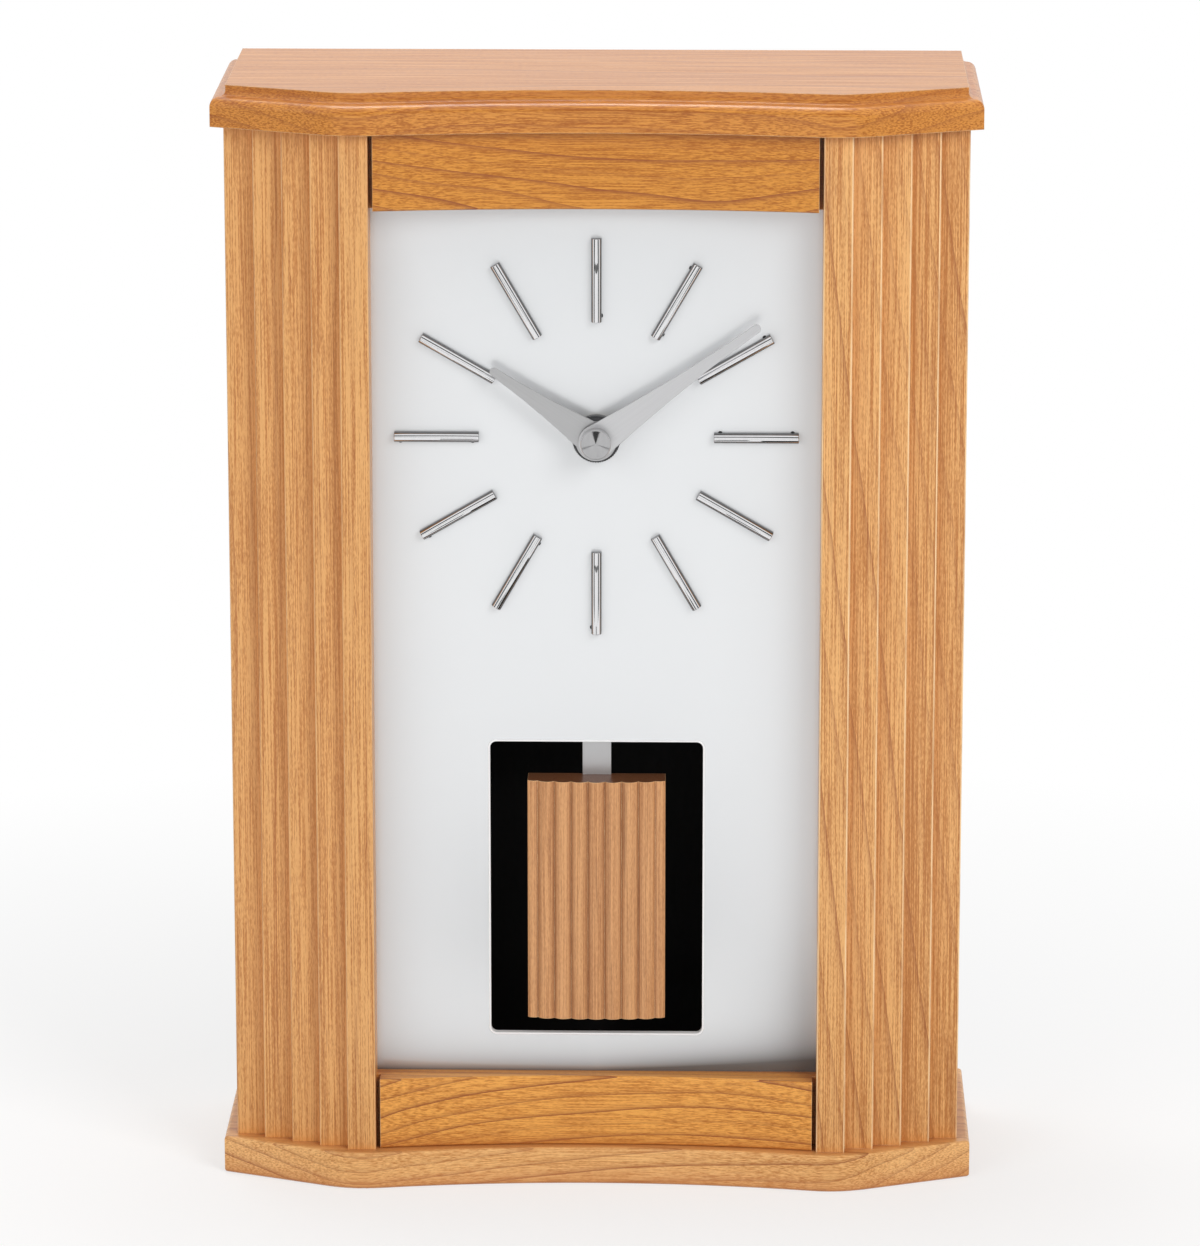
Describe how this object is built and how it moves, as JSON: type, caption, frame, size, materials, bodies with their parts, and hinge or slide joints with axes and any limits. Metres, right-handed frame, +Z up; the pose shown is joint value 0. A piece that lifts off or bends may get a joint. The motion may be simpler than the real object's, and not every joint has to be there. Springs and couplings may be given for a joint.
{
  "type": "desk pendulum clock",
  "caption": "Wooden desk clock with stepped pillars, ogee-moulded serpentine top, satin dial with bar markers and tapered hands, and a reeded wooden pendulum bob swinging in a window.",
  "frame": {"origin": "underside of the base board, in the middle of the clock's width and depth", "axes": "+X to the right seen from the front, +Y to the back, +Z up"},
  "size_m": [0.198, 0.076, 0.292],
  "materials": {
    "case_wood": "satin lacquer, honey brown",
    "bob_wood": "satin lacquer, honey brown",
    "black_board": "matte black paint",
    "dial_satin": "satin silver white",
    "satin_metal": "satin",
    "bright_chrome": "polished",
    "black_nickel": "black nickel plate",
    "brass": "plain",
    "zinc_steel": "zinc plated",
    "black_plastic": "moulded",
    "grey_plastic": "moulded",
    "white_plastic": "moulded",
    "battery_jacket": "plain wrapped cell",
    "board_laminate": "plain laminate",
    "copper_winding": "enamelled copper",
    "magnet": "plain"
  },
  "bodies": {
    "case": {"base_board": "case_wood", "top_board": "case_wood", "left_pillar": "case_wood", "right_pillar": "case_wood", "left_side_panel": "case_wood", "right_side_panel": "case_wood", "bottom_rail": "case_wood", "top_rail": "case_wood", "base_screws": "zinc_steel", "dial_plate": "dial_satin", "dial_screws": "zinc_steel", "hour_markers": "bright_chrome", "movement_front_case": "black_plastic", "movement_rear_cover": "black_plastic", "movement_screws": "zinc_steel", "threaded_bushing": "brass", "dial_washer": "brass", "dial_nut": "black_nickel", "battery": "battery_jacket", "battery_contacts": "zinc_steel", "circuit_board": "board_laminate", "drive_coil": "copper_winding", "step_motor": "grey_plastic", "pendulum_pivot_pin": "zinc_steel", "hinge_case_leaves": "brass", "hinge_pins": "brass", "hinge_case_screws": "brass", "catch_magnet": "grey_plastic"},
    "minute": {"minute_arbor": "zinc_steel", "minute_hand": "satin_metal", "hand_cap": "bright_chrome"},
    "hour": {"hour_wheel": "white_plastic", "hour_hand": "satin_metal"},
    "motion_work": {"minute_wheel": "white_plastic", "set_knob": "grey_plastic"},
    "pendulum": {"pendulum_hanger": "white_plastic", "pendulum_magnet": "magnet", "pendulum_rod": "satin_metal", "pendulum_bob": "bob_wood", "bob_screws": "zinc_steel"},
    "door": {"back_door": "black_board", "door_knob": "brass", "hinge_door_leaves": "brass", "hinge_door_screws": "brass", "catch_strike": "zinc_steel"}
  },
  "joints": [
    {"name": "minute_turn", "type": "hinge", "parent": "case", "child": "minute", "pos_m": [0, -0.0245, 0.2008], "axis": [0, 1, 0], "continuous": true},
    {"name": "hour_turn", "type": "hinge", "parent": "case", "child": "hour", "pos_m": [0, -0.0245, 0.2008], "axis": [0, 1, 0], "continuous": true},
    {"name": "motion_work_turn", "type": "hinge", "parent": "case", "child": "motion_work", "pos_m": [-0.012, -0.0183, 0.2008], "axis": [0, 1, 0], "continuous": true},
    {"name": "pendulum_swing", "type": "hinge", "parent": "case", "child": "pendulum", "pos_m": [0, -0.0196, 0.1728], "axis": [0, 1, 0], "range_deg": [-3.5, 3.5]},
    {"name": "door_open", "type": "hinge", "parent": "case", "child": "door", "pos_m": [-0.08755, 0.0356, 0.14575], "axis": [0, 0, 1], "range_deg": [0, 120]}
  ],
  "couplings": [
    {"joint": "hour_turn", "follows": "minute_turn", "ratio": 0.083333},
    {"joint": "motion_work_turn", "follows": "minute_turn", "ratio": -0.33333}
  ]
}
